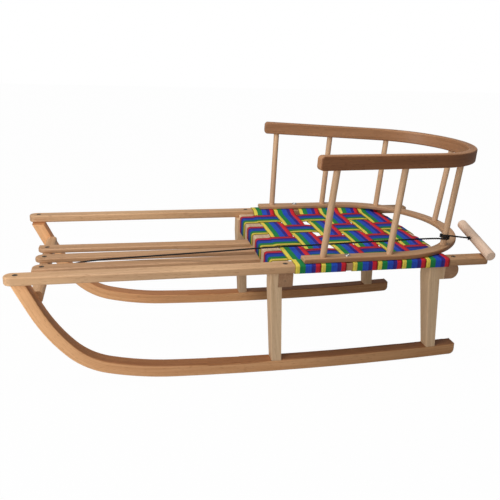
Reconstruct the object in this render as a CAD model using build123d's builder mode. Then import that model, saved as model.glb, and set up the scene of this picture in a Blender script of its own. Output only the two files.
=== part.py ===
from build123d import *
import os
from math import asin, atan2, cos, degrees, pi, radians, sin, sqrt, tan

# Wooden pull sled with a woven webbing seat and a bentwood backrest.
# Millimetres. +X points to the curled front, +Y to the sled's left, +Z up.
# The origin is on the floor, under the middle of the sled.

# ---------------------------------------------------------------- driving sizes
# Runners: bent planks on edge, rockered underneath and curled up at the front
runner_width = 27.0
runner_thickness = 23.0
runner_centre_y = 160.5
runner_rear_x = -392.0
rocker_radius = 6300.0
rocker_low_x = -83.0
rocker_front_length = 256.0
curl_bends = ((573.0, 12.1), (147.0, 32.8), (319.0, 18.1))
curl_overrun = 90.0
runner_edge_round = 3.0
runner_tail_round = 10.0

# Rails: the long side members that the seat hangs from
rail_width = 26.0
rail_thickness = 15.0
rail_top_z = 221.0
rail_centre_y = 175.0
rail_front_x = 452.5
rail_rear_x = -424.0
rail_rear_round = 6.0
rail_edge_round = 3.0

# Trestles: a crossbar on two legs, once in front of the seat and once behind it
crossbar_width = 35.0
crossbar_foot_z = 174.0
front_crossbar_rise = 7.0
rear_crossbar_rise = 0.0
crossbar_edge_round = 4.0
rear_crossbar_round = 15.0
front_trestle_x = -24.0
rear_trestle_x = -355.0
front_leg_lead = 14.0
rear_leg_lead = 31.0
leg_width = 22.0
rear_leg_depth = 41.0
leg_foot_width = 19.0
leg_foot_depth = 24.0
front_leg_rake = 9.0
rear_leg_rake = 14.0
lap_depth = 7.0
leg_edge_round = 2.5
mortise_depth = 4.0
mortise_play = 0.5

# Front crossbar between the runners, under the slats
front_bar_x = 407.0
front_bar_width = 20.0
front_bar_height = 22.0
front_bar_round = 6.0

# Slats from the front crossbar back to the front trestle
slat_width = 28.0
slat_thickness = 9.0
slat_top_z = 187.5
slat_overhang = 17.0
slat_front_pitch = 55.0
slat_rear_pitch = 46.0
slat_housing = 10.0
slat_edge_round = 2.5

# Seat webbing: four straps along the sled, six across it
tape_thickness = 1.6
tape_width = 47.8
along_width = 51.0
along_count = 4
along_pitch = 77.0
across_count = 6
across_ahead_of_bolt = 2
across_pitch = 48.4
across_first_x = -39.0
bolt_gap = 11.6
tape_turn_under = 12.0
seat_dip_run = 20.0
seat_step_run = 14.0
layer_gap = 0.2

# Backrest: a lower hoop on the rails, an upper hoop, seven spindles between them
lower_hoop_rear_x = -431.5
lower_hoop_thickness = 24.0
lower_hoop_height = 9.0
lower_hoop_front_x = -56.0
upper_hoop_half_width = 204.0
upper_hoop_front_x = -67.0
upper_hoop_rear_x = -452.0
upper_hoop_taper = 10.5
upper_hoop_thickness = 16.5
upper_hoop_height = 25.5
upper_hoop_under_z = 394.0
upper_hoop_tilt = 1.6
hoop_edge_round = 3.0
upper_hoop_end_round = 7.0
spindle_radius = 6.0
spindle_socket = 6.0
# the spindles' places along the hoops: 0 at the left front end, 1 in the middle of the back
spindle_places = (0.082, 0.36, 0.656, 1.04, 1.387, 1.67, 1.934)
spindle_top_places = (0.078, 0.379, 0.662, 1.064, 1.403, 1.679, 1.94)
bolt_x = -141.0
bolt_hole_radius = 3.2

# Pull cord and its handle
cord_diameter = 3.5
handle_radius = 9.5
handle_chamfer = 2.0
handle_near_end = (-413.8, 205.0, 229.2)
handle_far_end = (-435.9, 60.0, 247.5)

# Clearances
fit_gap = 0.1
rest_gap = 0.3
strap_clearance = 0.5
right_angle = 90.0

# ---------------------------------------------------------------- derived places
rail_under_z = rail_top_z - rail_thickness
rail_inner_y = rail_centre_y - rail_width / 2
rail_outer_y = rail_centre_y + rail_width / 2
crossbar_top_z = rail_under_z + front_crossbar_rise
rear_crossbar_top_z = rail_under_z + rear_crossbar_rise
crossbar_end_y = runner_centre_y + leg_foot_depth / 2
along_outer_y = (along_count - 1) / 2 * along_pitch + along_width / 2
front_leg_depth = crossbar_end_y - along_outer_y - strap_clearance
slat_front_x = front_bar_x + slat_overhang
slat_under_z = slat_top_z - slat_thickness
runner_inner_y = runner_centre_y - runner_width / 2
lower_hoop_under_z = rail_top_z + tape_thickness
lower_hoop_top_z = lower_hoop_under_z + lower_hoop_height
lower_hoop_radius = rail_centre_y + lower_hoop_thickness / 2
lower_hoop_centre_x = lower_hoop_rear_x + lower_hoop_radius
lower_hoop_mid_radius = lower_hoop_radius - lower_hoop_thickness / 2

# each trestle: place, leg's lead and rake, leg's depth, crossbar's rise and rear rounding
trestles = {
    "front": (
        front_trestle_x,
        front_leg_lead,
        front_leg_rake,
        front_leg_depth,
        front_crossbar_rise,
        crossbar_edge_round,
    ),
    "rear": (
        rear_trestle_x,
        rear_leg_lead,
        rear_leg_rake,
        rear_leg_depth,
        rear_crossbar_rise,
        rear_crossbar_round,
    ),
}
sides = {"left": 1, "right": -1}


def on_side(y):
    """The XZ plane moved to this y."""
    return Plane.XZ.offset(-y)


def finish(piece, name):
    """Names a finished piece and writes it."""
    piece.part.label = name
    export_step(piece.part, f"parts/{name}.step")


def runner_top_z(x):
    """Height of the runner's upper face on its rockered stretch."""
    return rocker_radius - sqrt((rocker_radius - runner_thickness) ** 2 - (x - rocker_low_x) ** 2)


os.makedirs("parts", exist_ok=True)

# ---------------------------------------------------------------- runners
tail_angle = asin((rocker_low_x - runner_rear_x) / rocker_radius)
front_angle = rocker_front_length / rocker_radius
runner_tail = (runner_rear_x, rocker_radius * (1 - cos(tail_angle)))
leg_feet_x = [x + lead - rake for x, lead, rake, *_ in trestles.values()]

for side, sign in sides.items():
    with BuildPart() as runner:
        with BuildSketch(on_side(sign * runner_centre_y)):
            with BuildLine() as runner_outline:
                direction = (cos(tail_angle), -sin(tail_angle))
                sole = JernArc(runner_tail, direction, rocker_radius, degrees(tail_angle + front_angle))
                for bend_radius, bend_angle in curl_bends:
                    sole = JernArc(sole @ 1, sole % 1, bend_radius, bend_angle)
                Line(sole @ 1, sole @ 1 + (sole % 1) * curl_overrun)
                offset(amount=runner_thickness, side=Side.LEFT)
            make_face()
        extrude(amount=runner_width / 2, both=True)
        split(bisect_by=Plane.XY.offset(rail_under_z), keep=Keep.BOTTOM)
        tail_edges = runner.edges().filter_by(Axis.Y).group_by(Axis.X)[0]
        fillet(tail_edges, runner_tail_round)
        side_edges = runner.faces().filter_by(Axis.Y).edges()
        fillet(side_edges.filter_by(lambda e: e.center().Z < rail_under_z - fit_gap), runner_edge_round)
        for x in leg_feet_x:
            with BuildSketch(Plane.XY.offset(runner_top_z(x) - mortise_depth)):
                with Locations((x, sign * runner_centre_y)):
                    Rectangle(leg_foot_width + 2 * mortise_play, leg_foot_depth + 2 * mortise_play)
            extrude(amount=runner_thickness, mode=Mode.SUBTRACT)
    finish(runner, f"runner_{side}")

# ---------------------------------------------------------------- rails
for side, sign in sides.items():
    with BuildPart() as rail:
        with BuildSketch(Plane.XY.offset(rail_under_z)) as rail_plan:
            with Locations(((rail_front_x + rail_rear_x) / 2, sign * rail_centre_y)):
                Rectangle(rail_front_x - rail_rear_x, rail_width)
            fillet(rail_plan.vertices().group_by(Axis.X)[-1], rail_width / 2 - fit_gap)
            fillet(rail_plan.vertices().group_by(Axis.X)[0], rail_rear_round)
        extrude(amount=rail_thickness)
        fillet(rail.faces().filter_by(Axis.Z).edges(), rail_edge_round)
        with Locations((bolt_x, sign * (lower_hoop_mid_radius), rail_top_z)):
            Hole(bolt_hole_radius, depth=rail_thickness)
    finish(rail, f"rail_{side}")

# ---------------------------------------------------------------- trestles
for place, (bar_x, leg_lead, leg_rake, leg_depth, bar_rise, rear_round) in trestles.items():
    bar_front_x = bar_x + crossbar_width / 2
    bar_top_z = rail_under_z + bar_rise
    leg_middle_y = crossbar_end_y - leg_depth / 2
    with BuildPart() as crossbar:
        with BuildSketch(on_side(0)) as bar_section:
            with Locations((bar_x, (crossbar_foot_z + bar_top_z) / 2)):
                Rectangle(crossbar_width, bar_top_z - crossbar_foot_z)
            fillet(bar_section.vertices().group_by(Axis.X)[-1], crossbar_edge_round)
            fillet(bar_section.vertices().group_by(Axis.X)[0], rear_round)
        extrude(amount=crossbar_end_y, both=True)
        for sign in sides.values():
            if bar_rise:
                with Locations((bar_x, sign * (rail_inner_y + crossbar_end_y) / 2, rail_under_z)):
                    Box(
                        crossbar_width,
                        crossbar_end_y - rail_inner_y + 2 * fit_gap,
                        bar_rise,
                        align=(Align.CENTER, Align.CENTER, Align.MIN),
                        mode=Mode.SUBTRACT,
                    )
            with Locations((bar_front_x, sign * leg_middle_y, crossbar_foot_z)):
                Box(
                    2 * lap_depth,
                    leg_depth + 2 * fit_gap,
                    rail_under_z - crossbar_foot_z,
                    align=(Align.CENTER, Align.CENTER, Align.MIN),
                    mode=Mode.SUBTRACT,
                )
        if place == "front":
            for y in (-slat_rear_pitch, 0, slat_rear_pitch):
                with Locations((bar_front_x, y, slat_under_z)):
                    Box(
                        2 * slat_housing,
                        slat_width + 10 * fit_gap,
                        slat_thickness + fit_gap,
                        align=(Align.CENTER, Align.CENTER, Align.MIN),
                        mode=Mode.SUBTRACT,
                    )
    finish(crossbar, f"trestle_crossbar_{place}")

    leg_x = bar_x + leg_lead
    foot_x = leg_x - leg_rake
    foot_z = runner_top_z(foot_x) - mortise_depth
    for side, sign in sides.items():
        with BuildPart() as leg:
            with BuildSketch(on_side(sign * leg_middle_y)):
                with BuildLine():
                    Polyline(
                        (foot_x - leg_foot_width / 2, foot_z),
                        (foot_x + leg_foot_width / 2, foot_z),
                        (leg_x + leg_width / 2, crossbar_foot_z),
                        (leg_x + leg_width / 2, rail_under_z),
                        (bar_front_x - lap_depth + fit_gap, rail_under_z),
                        (bar_front_x - lap_depth + fit_gap, crossbar_foot_z - fit_gap),
                        (leg_x - leg_width / 2, crossbar_foot_z - fit_gap),
                        close=True,
                    )
                make_face()
            extrude(amount=leg_depth / 2, both=True)
            # the inner side tapers down to the foot; the outer side stays upright
            foot_inner_y = sign * (crossbar_end_y - leg_foot_depth)
            top_inner_y = sign * (crossbar_end_y - leg_depth)
            slope = Vector(0, sign * (foot_z - rail_under_z), top_inner_y * sign - foot_inner_y * sign)
            split(
                bisect_by=Plane(origin=(foot_x, foot_inner_y, foot_z), x_dir=(1, 0, 0), z_dir=slope),
                keep=Keep.BOTTOM,
            )
            front_edges = leg.edges().filter_by(lambda e: abs(e.tangent_at(0.5).Z) > 0.9 and e.center().X > leg_x)
            fillet(front_edges, leg_edge_round)
        finish(leg, f"leg_{place}_{side}")

# ---------------------------------------------------------------- front crossbar and slats
with BuildPart() as front_bar:
    with BuildSketch(on_side(0)):
        with Locations((front_bar_x, slat_under_z - front_bar_height / 2)):
            RectangleRounded(front_bar_width, front_bar_height, front_bar_round)
    extrude(amount=runner_inner_y, both=True)
finish(front_bar, "front_crossbar")

slat_rear_x = front_trestle_x + crossbar_width / 2 - slat_housing + rest_gap + fit_gap
for number, place in enumerate((-1, 0, 1), start=1):
    front_end = Vector(slat_front_x, place * slat_front_pitch)
    rear_end = Vector(slat_rear_x, place * slat_rear_pitch)
    run = front_end - rear_end
    turn = degrees(atan2(run.Y, run.X))
    with BuildPart() as slat:
        with BuildSketch(Plane.XY.offset(slat_under_z)) as slat_plan:
            with Locations(Location(tuple((front_end + rear_end) / 2), (0, 0, turn))):
                Rectangle(run.length, slat_width)
            fillet(slat_plan.vertices().group_by(Axis.X)[-1], slat_width / 2 - fit_gap)
        extrude(amount=slat_thickness)
        fillet(slat.faces().filter_by(Axis.Z).edges(), slat_edge_round)
    finish(slat, f"slat_{number}")

# ---------------------------------------------------------------- seat webbing
along_top_z = crossbar_top_z + tape_thickness
across_low_z = along_top_z + layer_gap
across_centres = [
    across_first_x - tape_width / 2 - i * across_pitch - (bolt_gap if i >= across_ahead_of_bolt else 0)
    for i in range(across_count)
]
along_centres = [(i - (along_count - 1) / 2) * along_pitch for i in range(along_count)]
along_front_x = front_trestle_x + crossbar_width / 2
along_rear_x = rear_trestle_x - crossbar_width / 2

# along the seat, then a step down to the lower rear crossbar
seat_rear_x = across_centres[-1] - tape_width / 2
with BuildPart() as webbing_along:
    for y in along_centres:
        with BuildSketch(on_side(y)):
            with BuildLine():
                Polyline(
                    (along_front_x - crossbar_edge_round, crossbar_top_z),
                    (seat_rear_x + seat_step_run / 2, crossbar_top_z),
                    (seat_rear_x - seat_step_run / 2, rear_crossbar_top_z),
                    (along_rear_x + rear_crossbar_round, rear_crossbar_top_z),
                )
                offset(amount=tape_thickness, side=Side.RIGHT)
            make_face()
        extrude(amount=along_width / 2, both=True)
finish(webbing_along, "webbing_along")

# the ends turned down over the crossbars, cut short where a slat is in the way
along_end_z = crossbar_foot_z + crossbar_edge_round
along_cut_z = slat_under_z + slat_thickness + rest_gap
with BuildPart() as webbing_along_ends:
    for y in along_centres:
        over_slat = abs(y) - along_width / 2 < slat_rear_pitch + slat_width / 2
        front_end_z = along_cut_z if over_slat else along_end_z
        turns = (
            (along_front_x, 1, crossbar_top_z, crossbar_edge_round, front_end_z),
            (along_rear_x, -1, rear_crossbar_top_z, rear_crossbar_round, along_end_z),
        )
        for face_x, way, top_z, fold_round, end_z in turns:
            with BuildSketch(on_side(y)):
                with BuildLine():
                    fold = JernArc(
                        start=(face_x - way * fold_round, top_z),
                        tangent=(way, 0),
                        radius=fold_round,
                        arc_size=-way * right_angle,
                    )
                    Line(fold @ 1, (face_x, end_z))
                    offset(amount=tape_thickness, side=Side.LEFT if way > 0 else Side.RIGHT)
                make_face()
            extrude(amount=along_width / 2, both=True)
finish(webbing_along_ends, "webbing_along_ends")

with BuildPart() as webbing_across:
    for x in across_centres:
        with BuildSketch(Plane.YZ.offset(x)):
            with BuildLine():
                dip_y = rail_inner_y - seat_dip_run
                Polyline(
                    (-rail_outer_y + rail_edge_round, rail_top_z),
                    (-rail_inner_y, rail_top_z),
                    (-dip_y, across_low_z),
                    (dip_y, across_low_z),
                    (rail_inner_y, rail_top_z),
                    (rail_outer_y - rail_edge_round, rail_top_z),
                )
                offset(amount=tape_thickness, side=Side.LEFT)
            make_face()
        extrude(amount=tape_width / 2, both=True)
finish(webbing_across, "webbing_across")

# the ends turned round the rails' outer sides and tacked underneath
with BuildPart() as webbing_across_ends:
    for x in across_centres:
        for way in sides.values():
            with BuildSketch(Plane.YZ.offset(x)):
                with BuildLine():
                    upper_fold = JernArc(
                        start=(way * (rail_outer_y - rail_edge_round), rail_top_z),
                        tangent=(way, 0),
                        radius=rail_edge_round,
                        arc_size=-way * right_angle,
                    )
                    drop = Line(upper_fold @ 1, (way * rail_outer_y, rail_under_z + rail_edge_round))
                    lower_fold = JernArc(
                        start=drop @ 1,
                        tangent=(0, -1),
                        radius=rail_edge_round,
                        arc_size=-way * right_angle,
                    )
                    Line(lower_fold @ 1, (way * (rail_outer_y - tape_turn_under), rail_under_z))
                    offset(amount=tape_thickness, side=Side.LEFT if way > 0 else Side.RIGHT)
                make_face()
            extrude(amount=tape_width / 2, both=True)
finish(webbing_across_ends, "webbing_across_ends")

# ---------------------------------------------------------------- backrest hoops
lower_arm = lower_hoop_front_x - lower_hoop_centre_x
upper_plane = Plane(
    origin=(upper_hoop_front_x, 0, upper_hoop_under_z),
    x_dir=(cos(radians(upper_hoop_tilt)), 0, sin(radians(upper_hoop_tilt))),
    z_dir=(-sin(radians(upper_hoop_tilt)), 0, cos(radians(upper_hoop_tilt))),
)
taper = radians(upper_hoop_taper)
upper_depth = (upper_hoop_front_x - upper_hoop_rear_x) / cos(radians(upper_hoop_tilt))
upper_centre = -(upper_depth - upper_hoop_half_width * cos(taper)) / (1 - sin(taper))
upper_radius = upper_depth + upper_centre
upper_mid_radius = upper_radius - upper_hoop_thickness / 2
upper_bend_start = Vector(upper_centre - upper_radius * sin(taper), upper_radius * cos(taper))
upper_arm = Vector(0, upper_hoop_half_width).sub(upper_bend_start).length


def lower_hoop_point(step):
    """A point on the top of the lower hoop, step mm along it from its left front end."""
    if step <= lower_arm:
        return Vector(lower_hoop_front_x - step, lower_hoop_mid_radius, lower_hoop_top_z)
    turned = (step - lower_arm) / lower_hoop_mid_radius
    x = lower_hoop_centre_x - lower_hoop_mid_radius * sin(turned)
    return Vector(x, lower_hoop_mid_radius * cos(turned), lower_hoop_top_z)


def upper_hoop_point(step):
    """A point under the upper hoop, step mm along it from its left front end."""
    turned = max(step - upper_arm, 0) / upper_mid_radius
    x = upper_centre - upper_mid_radius * sin(taper + turned)
    y = upper_mid_radius * cos(taper + turned)
    before = max(upper_arm - step, 0)
    return upper_plane.from_local_coords(Vector(x + before * cos(taper), y + before * sin(taper), 0))


lower_middle = lower_arm + lower_hoop_mid_radius * pi / 2
upper_middle = upper_arm + upper_mid_radius * (pi / 2 - taper)


def along_hoop(point, middle, place):
    """The point of a hoop at a place from 0 to 2; past the middle it is the left side's mirror."""
    here = point(min(place, 2 - place) * middle)
    return here if place <= 1 else Vector(here.X, -here.Y, here.Z)


spindle_ends = [
    (along_hoop(lower_hoop_point, lower_middle, low), along_hoop(upper_hoop_point, upper_middle, high))
    for low, high in zip(spindle_places, spindle_top_places)
]


def spindle_plane(low, high):
    """The plane at the foot of a spindle's lower socket, facing up along the spindle."""
    along = (high - low).normalized()
    return Plane(origin=low - along * spindle_socket, z_dir=along)


def drill_sockets():
    """Cuts the spindles' sockets out of the hoop that is being built."""
    for low, high in spindle_ends:
        length = (high - low).length + 2 * spindle_socket
        with Locations(spindle_plane(low, high)):
            Cylinder(
                spindle_radius + fit_gap,
                length,
                align=(Align.CENTER, Align.CENTER, Align.MIN),
                mode=Mode.SUBTRACT,
            )


with BuildPart() as lower_hoop:
    with BuildSketch(Plane.XY.offset(lower_hoop_under_z)):
        for radius, mode in (
            (lower_hoop_radius, Mode.ADD),
            (lower_hoop_radius - lower_hoop_thickness, Mode.SUBTRACT),
        ):
            with Locations((lower_hoop_centre_x, 0)):
                Circle(radius, mode=mode)
            with Locations((lower_hoop_centre_x + lower_arm / 2, 0)):
                Rectangle(lower_arm, 2 * radius, mode=mode)
    extrude(amount=lower_hoop_height)
    fillet(lower_hoop.faces().filter_by(Axis.Z).edges(), hoop_edge_round)
    drill_sockets()
    with Locations(*[(bolt_x, sign * lower_hoop_mid_radius, lower_hoop_top_z) for sign in sides.values()]):
        Hole(bolt_hole_radius, depth=lower_hoop_height)
finish(lower_hoop, "backrest_lower_hoop")

with BuildPart() as upper_hoop:
    with BuildSketch(upper_plane):
        with BuildLine():
            bend_end = Vector(upper_bend_start.X, -upper_bend_start.Y)
            Line((0, upper_hoop_half_width), upper_bend_start)
            ThreePointArc(upper_bend_start, (-upper_depth, 0), bend_end)
            Line(bend_end, (0, -upper_hoop_half_width))
            offset(amount=upper_hoop_thickness, side=Side.LEFT)
        make_face()
    extrude(amount=upper_hoop_height)
    end_edges = upper_hoop.edges().filter_by(
        lambda e: abs(e.tangent_at(0.5).Y) > 0.9 and e.center().X > upper_hoop_front_x - upper_hoop_end_round
    )
    fillet(end_edges, upper_hoop_end_round)
    flat_faces = upper_hoop.faces().filter_by(lambda f: abs(f.normal_at().Z) > 0.9)
    long_edges = flat_faces.edges().filter_by(lambda e: e.length > upper_hoop_half_width / 2)
    fillet(long_edges, hoop_edge_round)
    drill_sockets()
finish(upper_hoop, "backrest_upper_hoop")

for number, (low, high) in enumerate(spindle_ends, start=1):
    with BuildPart() as spindle:
        with BuildSketch(spindle_plane(low, high)):
            Circle(spindle_radius)
        extrude(amount=(high - low).length + 2 * spindle_socket)
    finish(spindle, f"spindle_{number}")

# ---------------------------------------------------------------- pull cord and handle
cord_radius = cord_diameter / 2
tie_y = 28.0
tie_rear_x = front_bar_x - front_bar_width / 2 - fit_gap - cord_diameter
wrap_low, wrap_high = spindle_ends[2]
wrap_plane = Plane(origin=wrap_low, z_dir=(wrap_high - wrap_low).normalized())
wrap_outer_radius = spindle_radius + fit_gap + cord_diameter
wrap_reach = wrap_outer_radius + 2 * rest_gap
wrap_turns = 2
wrap_lift = 13.5

handle_near = Vector(*handle_near_end)
handle_far = Vector(*handle_far_end)
handle_axis = (handle_far - handle_near).normalized()
handle_middle = (handle_near + handle_far) / 2
knot_radius = 4.5

cord_points = (
    (tie_rear_x - rest_gap, tie_y, 172.5),
    (352.0, 29.5, 181.5),
    (309.5, 31.0, 188.5),
    (90.0, 65.5, 208.0),
    (-4.5, 80.5, crossbar_top_z + tape_thickness + cord_diameter),
    (-100.0, 95.0, 225.0),
)


def cord_radii(points):
    """The largest arc that each corner of a route has room for."""
    vectors = [Vector(*point) for point in points]
    radii = []
    for before, here, after in zip(vectors, vectors[1:], vectors[2:]):
        turn = (here - before).get_angle(after - here)
        shorter = min((here - before).length, (after - here).length)
        radii.append(0.45 * shorter / tan(radians(turn) / 2))
    return radii


def cord_tube(points, name):
    """A round tube along straight runs joined by tangent arcs."""
    radii = cord_radii(points)
    print(name, "radii", [round(radius, 1) for radius in radii])
    with BuildPart() as tube:
        with BuildLine() as route:
            FilletPolyline(*points, radius=radii) if radii else Line(*points)
        with BuildSketch(Plane(origin=route.line @ 0, z_dir=route.line % 0)):
            Circle(cord_radius)
        sweep(path=route.line)
    length = sum(edge.length for edge in route.edges())
    share = tube.part.volume / (pi * cord_radius**2 * length)
    print(name, "length", round(length, 1), "volume share", round(share, 4))
    finish(tube, name)


wrap_mid_height = wrap_turns * cord_diameter / 2 + wrap_lift
wrap_front = wrap_plane.from_local_coords(Vector(0, 0, wrap_mid_height))
last = Vector(*cord_points[-1])
arrival = (last - wrap_front).normalized()
cord_tube((*cord_points, tuple(wrap_front + arrival * wrap_reach)), "pull_cord")

handle_side = handle_middle - wrap_front
handle_side = (handle_side - handle_axis * handle_side.dot(handle_axis)).normalized()
knot_centre = handle_middle - handle_side * (handle_radius + knot_radius + fit_gap)
toward_knot = (knot_centre - wrap_front).normalized()
tail_start = wrap_front + toward_knot * wrap_reach
cord_tube((tuple(tail_start), tuple(knot_centre - toward_knot * knot_radius)), "pull_cord_tail")

with BuildPart() as cord_wrap:
    with BuildSketch(wrap_plane.offset(wrap_lift)):
        Circle(wrap_outer_radius)
        Circle(spindle_radius + fit_gap, mode=Mode.SUBTRACT)
    extrude(amount=wrap_turns * cord_diameter)
finish(cord_wrap, "cord_wrap")

with BuildPart() as cord_tie:
    with BuildSketch(on_side(tie_y)):
        with Locations((front_bar_x, slat_under_z - front_bar_height / 2)):
            for wall, mode in ((cord_diameter + fit_gap, Mode.ADD), (fit_gap, Mode.SUBTRACT)):
                RectangleRounded(
                    front_bar_width + 2 * wall, front_bar_height + 2 * wall, front_bar_round + wall, mode=mode
                )
    extrude(amount=cord_diameter, both=True)
finish(cord_tie, "cord_tie")

with BuildPart() as cord_knot:
    with Locations(knot_centre):
        Sphere(knot_radius)
finish(cord_knot, "cord_knot")

with BuildPart() as pull_handle:
    with BuildSketch(Plane(origin=handle_near, z_dir=handle_axis)):
        Circle(handle_radius)
    extrude(amount=(handle_far - handle_near).length)
    chamfer(pull_handle.edges(), handle_chamfer)
finish(pull_handle, "pull_handle")
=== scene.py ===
import math

import bmesh
import bpy
from bpy.props import FloatProperty, FloatVectorProperty, IntProperty, PointerProperty
from mathutils import Matrix, Vector


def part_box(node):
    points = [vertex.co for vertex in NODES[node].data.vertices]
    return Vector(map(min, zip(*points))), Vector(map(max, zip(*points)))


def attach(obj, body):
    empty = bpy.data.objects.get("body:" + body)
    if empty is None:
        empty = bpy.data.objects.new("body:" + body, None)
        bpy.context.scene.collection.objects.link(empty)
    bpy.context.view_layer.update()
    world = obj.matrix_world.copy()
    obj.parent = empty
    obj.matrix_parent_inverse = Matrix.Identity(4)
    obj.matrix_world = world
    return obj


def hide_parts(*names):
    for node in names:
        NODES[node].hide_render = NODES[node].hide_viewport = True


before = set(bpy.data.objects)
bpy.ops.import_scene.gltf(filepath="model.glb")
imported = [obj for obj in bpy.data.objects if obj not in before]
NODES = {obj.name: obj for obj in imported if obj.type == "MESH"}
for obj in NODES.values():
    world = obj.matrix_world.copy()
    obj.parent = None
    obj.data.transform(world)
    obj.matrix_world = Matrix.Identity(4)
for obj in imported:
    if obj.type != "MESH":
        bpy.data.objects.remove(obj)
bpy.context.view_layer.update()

bl_info = {
    "name": "Wooden Pull Sled",
    "version": (1, 0, 0),
    "blender": (4, 5, 0),
    "location": "View3D > Sidebar > Sled",
    "description": "Webbing, cord, screws and finishes of a wooden pull sled",
    "category": "Object",
}

MM = 0.001
SIDES = (1, -1)


def middle_of(node):
    """The middle of a CAD node's box."""
    low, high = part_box(node)
    return (low + high) / 2


# --- places, from the frame
RAIL_LOW, RAIL_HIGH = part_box("rail_left")
RAIL_Y = (RAIL_LOW.y + RAIL_HIGH.y) / 2
HOOP_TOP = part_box("backrest_lower_hoop")[1].z
FRONT_BAR_LOW, FRONT_BAR_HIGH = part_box("front_crossbar")
FRONT_TRESTLE_LOW, FRONT_TRESTLE_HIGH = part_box("trestle_crossbar_front")
REAR_TRESTLE_LOW, REAR_TRESTLE_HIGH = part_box("trestle_crossbar_rear")
ALONG_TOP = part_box("webbing_along")[1].z
ACROSS_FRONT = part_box("webbing_across")[1].x
SLAT_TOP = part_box("slat_2")[1].z
WRAP_MIDDLE = middle_of("cord_wrap")
KNOT_MIDDLE = middle_of("cord_knot")
TIE_MIDDLE = middle_of("cord_tie")


# --- sizes and colours
def number(label, description, value, **options):
    """A number that shows in the sidebar."""
    return FloatProperty(name=label, description=description, default=value, **options)


def size(label, description, millimetres):
    """A length that shows in the sidebar."""
    return number(label, description, millimetres * MM, unit="LENGTH", precision=5)


def turn(label, description, degrees):
    """An angle that shows in the sidebar."""
    return number(label, description, math.radians(degrees), subtype="ANGLE")


def colour(label, description, rgb):
    """A colour that shows in the sidebar."""
    return FloatVectorProperty(
        name=label, description=description, default=(*rgb, 1.0), subtype="COLOR", size=4, min=0, max=1
    )


def grain_colours(woods):
    """A pale and a dark tone for each wood, as the properties of a group."""
    made = {}
    for key, (label, place, pale, dark) in woods.items():
        made[f"{key}_pale"] = colour(f"{label}, pale grain", f"{place} between the grain lines", pale)
        made[f"{key}_dark"] = colour(f"{label}, dark grain", f"Grain lines of the {place.lower()}", dark)
    return made


WOODS = {
    "runner": ("Runner", "Bent runners", (0.74, 0.43, 0.215), (0.55, 0.275, 0.12)),
    "rail": ("Rail", "Rails and front bar", (0.78, 0.5, 0.285), (0.56, 0.32, 0.165)),
    "slat": ("Slat", "Slats", (0.66, 0.40, 0.225), (0.46, 0.25, 0.125)),
    "bar": ("Crossbar", "Trestle crossbars", (0.8, 0.6, 0.41), (0.6, 0.4, 0.25)),
    "leg": ("Leg", "Trestle legs", (0.8, 0.58, 0.37), (0.62, 0.41, 0.235)),
    "hoop": ("Upper hoop", "Upper hoop", (0.55, 0.285, 0.145), (0.37, 0.175, 0.08)),
    "seat_hoop": ("Lower hoop", "Lower hoop", (0.70, 0.43, 0.24), (0.50, 0.275, 0.14)),
    "spindle": ("Spindle", "Turned spindles", (0.84, 0.56, 0.35), (0.66, 0.41, 0.235)),
    "handle": ("Handle", "Bare handle", (0.93, 0.71, 0.55), (0.8, 0.57, 0.43)),
}


class SledWood(bpy.types.PropertyGroup):
    __annotations__ = grain_colours(WOODS)


class SledWebbing(bpy.types.PropertyGroup):
    across_width: size("Across width", "Width of a strap across the sled", 47.8)
    across_pitch: size("Across pitch", "From one strap across the sled to the next", 48.4)
    bolt_gap: size("Bolt gap", "Extra gap that leaves the backrest's bolts bare", 11.6)
    along_width: size("Along width", "Width of a strap along the sled", 51.0)
    along_pitch: size("Along pitch", "From one strap along the sled to the next", 77.0)
    thickness: size("Thickness", "Thickness of the tape", 1.3)
    weave_rise: size("Weave rise", "How far a strap stands above or below the weave's middle", 0.8)
    yellow: colour("Yellow", "First stripe, at the front of a strap across the sled", (0.95, 0.76, 0.1))
    green: colour("Green", "Second stripe", (0.014, 0.27, 0.07))
    blue: colour("Blue", "Third stripe", (0.022, 0.1, 0.64))
    violet: colour("Violet", "Fourth stripe, a deep violet-blue", (0.045, 0.026, 0.29))
    red: colour("Red", "Last stripe", (0.78, 0.024, 0.038))


class SledCord(bpy.types.PropertyGroup):
    diameter: size("Diameter", "Diameter of the twisted cord", 3.5)
    twist: size("Twist", "Length of one turn of a strand round the cord", 13.0)
    colour: colour("Cord", "Black polyester cord", (0.012, 0.012, 0.014))
    turns: IntProperty(name="Turns", description="Turns round the spindle", default=2, min=1, max=4)


class SledHardware(bpy.types.PropertyGroup):
    screw_head: size("Screw head", "Diameter of a countersunk screw's head", 7.4)
    bolt_head: size("Bolt head", "Diameter of a backrest bolt's head", 11.5)
    pilot_hole: size("Pilot hole", "Diameter of the hole in a crossbar's end", 4.2)
    screw_colour: colour("Screw", "Zinc-plated screw", (0.20, 0.17, 0.14))
    bolt_colour: colour("Bolt", "Bright plated bolt", (0.80, 0.81, 0.82))


class SledStage(bpy.types.PropertyGroup):
    camera_x: size("Camera X", "Towards the sled's front", 263.1)
    camera_y: size("Camera Y", "Towards the sled's left", 1140.5)
    camera_z: size("Camera Z", "Above the floor", 605.8)
    heading: turn("Heading", "Camera's turn from looking square across the sled", 12.619)
    pitch: turn("Pitch", "Camera's tilt down", 19.786)
    roll: turn("Roll", "Camera's roll", 2.175)
    lens: number("Lens", "Focal length in mm on a 36 mm sensor", 43.32, unit="CAMERA")
    floor: colour("Floor", "Plain pale floor", (0.62, 0.61, 0.60))
    key: number("Key lamp", "Power of the low lamp ahead of the sled", 8.0, unit="POWER")
    top: number("Top lamp", "Power of the lamp above the sled", 18.5, unit="POWER")
    ambient: number("Ambient", "Strength of the light from all round", 0.25, min=0)


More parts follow.
